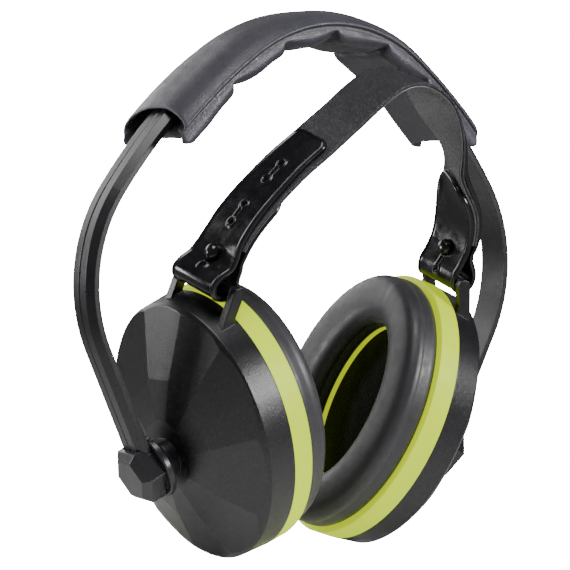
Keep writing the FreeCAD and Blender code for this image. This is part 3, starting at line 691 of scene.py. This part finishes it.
def lathe(profile, centre, axis, seg=48):
    """Turned closed piece: profile of (radius, height) along axis."""
    axis = np.array(axis) / np.linalg.norm(axis)
    helper = np.array([0, 1.0, 0])
    e1 = np.cross(axis, helper)
    e1 /= np.linalg.norm(e1)
    e2 = np.cross(axis, e1)
    verts = []
    for r, h in profile:
        for k in range(seg):
            a = 2 * math.pi * k / seg
            verts.append(np.array(centre) + axis * h + (e1 * math.cos(a) + e2 * math.sin(a)) * max(r, 1e-3))
    faces = grid_faces(len(profile), seg, wrap_v=True)
    faces.append(tuple(range(seg)))
    faces.append(tuple(range((len(profile) - 1) * seg, len(profile) * seg))[::-1])
    return verts, faces


def stud(side, label):
    x, z, a = half_strap_at(side, STUD_S)
    head = [(3.05, 0.0), (3.35, 0.25), (3.45, 0.8), (3.35, 1.5), (3.0, 2.3), (2.4, 3.0), (1.5, 3.5),
            (0.6, 3.72), (0.0, 3.75)]
    up = smooth_path(head, 4)
    start = STRAP_FACE + TAB_THICK + 0.15      # underside of each head
    profile = [(r, -start - h) for r, h in up[::-1]] + [(1.5, -start), (1.5, start)] + \
              [(r, start + h) for r, h in up]
    verts, faces = lathe(profile, (x, 0, z), (sin(a), 0, cos(a)))
    pts = (np.array(verts) @ LEAN.T) * np.array([side, 1, 1])
    make("strap_stud_" + label + "_button", pts, faces, M["rubber"], "crown_strap",
         ("strap_stud_" + label,))


sleeve()
for side, label in ((-1, "left"), (1, "right")):
    cushion(side, label)
    liner(side, label)
    tab(side, label)
    stud(side, label)
strap_sheet("crown_strap_face", -0.2, STRAP_FACE, 12.6, M["strap"], "strap_outer")
strap_sheet("crown_strap_lining", STRAP_BACK, -0.22, 12.35, M["lining"], "strap_lining")

# ------------------------------------------------------------ stage, light and camera
floor_z = cad_box[0][2]


def split_shader(tree, seen, other):
    """One closure for what the camera sees and another for what lights the object."""
    path = tree.nodes.new("ShaderNodeLightPath")
    mix = tree.nodes.new("ShaderNodeMixShader")
    tree.links.new(path.outputs["Is Camera Ray"], mix.inputs["Fac"])
    tree.links.new(other, mix.inputs[1])
    tree.links.new(seen, mix.inputs[2])
    return mix.outputs["Shader"]


PAPER = 30.0                                   # brightness of the paper and of the world behind it


def paper_material():
    """White to the camera; for other rays pale under the object and darker further out."""
    paper = bpy.data.materials.new("paper")
    paper.use_nodes = True
    t = paper.node_tree
    matt = t.nodes["Principled BSDF"]
    matt.inputs["Roughness"].default_value = 0.9
    reach = node(t, "ShaderNodeVectorMath", operation="LENGTH")
    t.links.new(t.nodes.new("ShaderNodeTexCoord").outputs["Object"], reach.inputs[0])
    t.links.new(ramp(t, reach.outputs["Value"], [(0.10, 0.95), (0.30, 0.10)]), matt.inputs["Base Color"])
    glow = node(t, "ShaderNodeEmission", inputs={"Color": (1, 1, 1, 1), "Strength": PAPER - 1.2})
    both = t.nodes.new("ShaderNodeAddShader")
    t.links.new(glow.outputs["Emission"], both.inputs[0])
    t.links.new(matt.outputs["BSDF"], both.inputs[1])
    surface = split_shader(t, both.outputs["Shader"], matt.outputs["BSDF"])
    t.links.new(surface, t.nodes["Material Output"].inputs["Surface"])
    return paper


def lay_floor():
    z, half = floor_z - 0.0005, 20
    mesh = bpy.data.meshes.new("floor")
    corners = [(-half, -half, z), (half, -half, z), (half, half, z), (-half, half, z)]
    mesh.from_pydata(corners, [], [(0, 1, 2, 3)])
    floor = bpy.data.objects.new("floor", mesh)
    bpy.context.scene.collection.objects.link(floor)
    floor.data.materials.append(paper_material())


def studio_world():
    """White behind the object, dim for everything that lights it."""
    world = bpy.data.worlds.new("studio")
    bpy.context.scene.world = world
    world.use_nodes = True
    t = world.node_tree
    far = t.nodes["Background"]
    far.inputs["Color"].default_value = (1, 1, 1, 1)
    far.inputs["Strength"].default_value = PAPER
    soft = node(t, "ShaderNodeBackground", inputs={"Color": (1, 1, 1, 1), "Strength": 0.10})
    t.links.new(split_shader(t, far.outputs["Background"], soft.outputs["Background"]),
                t.nodes["World Output"].inputs["Surface"])


def softbox(name, at, aim, size, power):
    data = bpy.data.lights.new(name, "AREA")
    data.shape, data.size, data.size_y, data.energy = "RECTANGLE", size[0], size[1], power
    lamp = bpy.data.objects.new(name, data)
    bpy.context.scene.collection.objects.link(lamp)
    lamp.location = at
    lamp.rotation_mode = "QUATERNION"
    lamp.rotation_quaternion = (Vector(at) - Vector(aim)).to_track_quat("Z", "Y")


lay_floor()
studio_world()
middle = (0, 0, 0.07)
softbox("key", (-0.45, -0.35, 1.35), middle, (0.8, 0.8), 15)
softbox("front", (0.62, -1.17, 0.42), middle, (0.36, 0.36), 20)
softbox("back", (-0.2, 1.3, 0.6), middle, (1.2, 0.6), 8)
softbox("left", (-0.75, 0.5, 0.14), middle, (0.3, 0.26), 4.5)

camera_data = bpy.data.cameras.new("camera")
camera_data.sensor_width, camera_data.lens = 36.0, 157.6
camera_data.clip_start, camera_data.clip_end = 0.05, 60
camera = bpy.data.objects.new("camera", camera_data)
bpy.context.scene.collection.objects.link(camera)
right, up, back = (Vector((0.80885, -0.58732, 0.02843)), Vector((0.02682, 0.08515, 0.99601)),
                   Vector((-0.58740, -0.80486, 0.08463)))
camera.rotation_mode = "QUATERNION"
camera.rotation_quaternion = Matrix((right, up, back)).transposed().to_quaternion()
camera.location = (-0.59967, -0.80948, 0.15303)
bpy.context.scene.camera = camera
